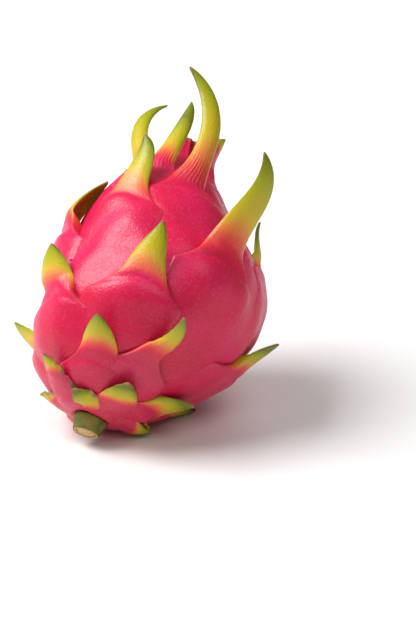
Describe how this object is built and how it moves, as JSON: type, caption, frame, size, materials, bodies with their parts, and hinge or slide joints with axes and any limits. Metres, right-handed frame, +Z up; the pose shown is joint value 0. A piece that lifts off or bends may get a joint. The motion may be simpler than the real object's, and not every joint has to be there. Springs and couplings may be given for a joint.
{
  "type": "dragon fruit",
  "caption": "Whole dragon fruit lying tilted: an egg-shaped body covered in leaf-like scales with free curling tips, a flower stub at the crown and a short cut stalk.",
  "frame": {"origin": "the middle of the largest flat spot that the fruit rests on", "axes": "+Z up; the stalk is at the front left (-X, -Y) and low, and the crown leans to the back right (+X, +Y) and up"},
  "size_m": [0.1081, 0.1224, 0.1293],
  "materials": {
    "skin": "waxy satin skin, raspberry pink, the scales' free ends green",
    "stalk": "matt olive green bark with a dry tan cut face"
  },
  "bodies": {
    "root": {"fruit": "skin", "stalk": "stalk"}
  },
  "joints": []
}
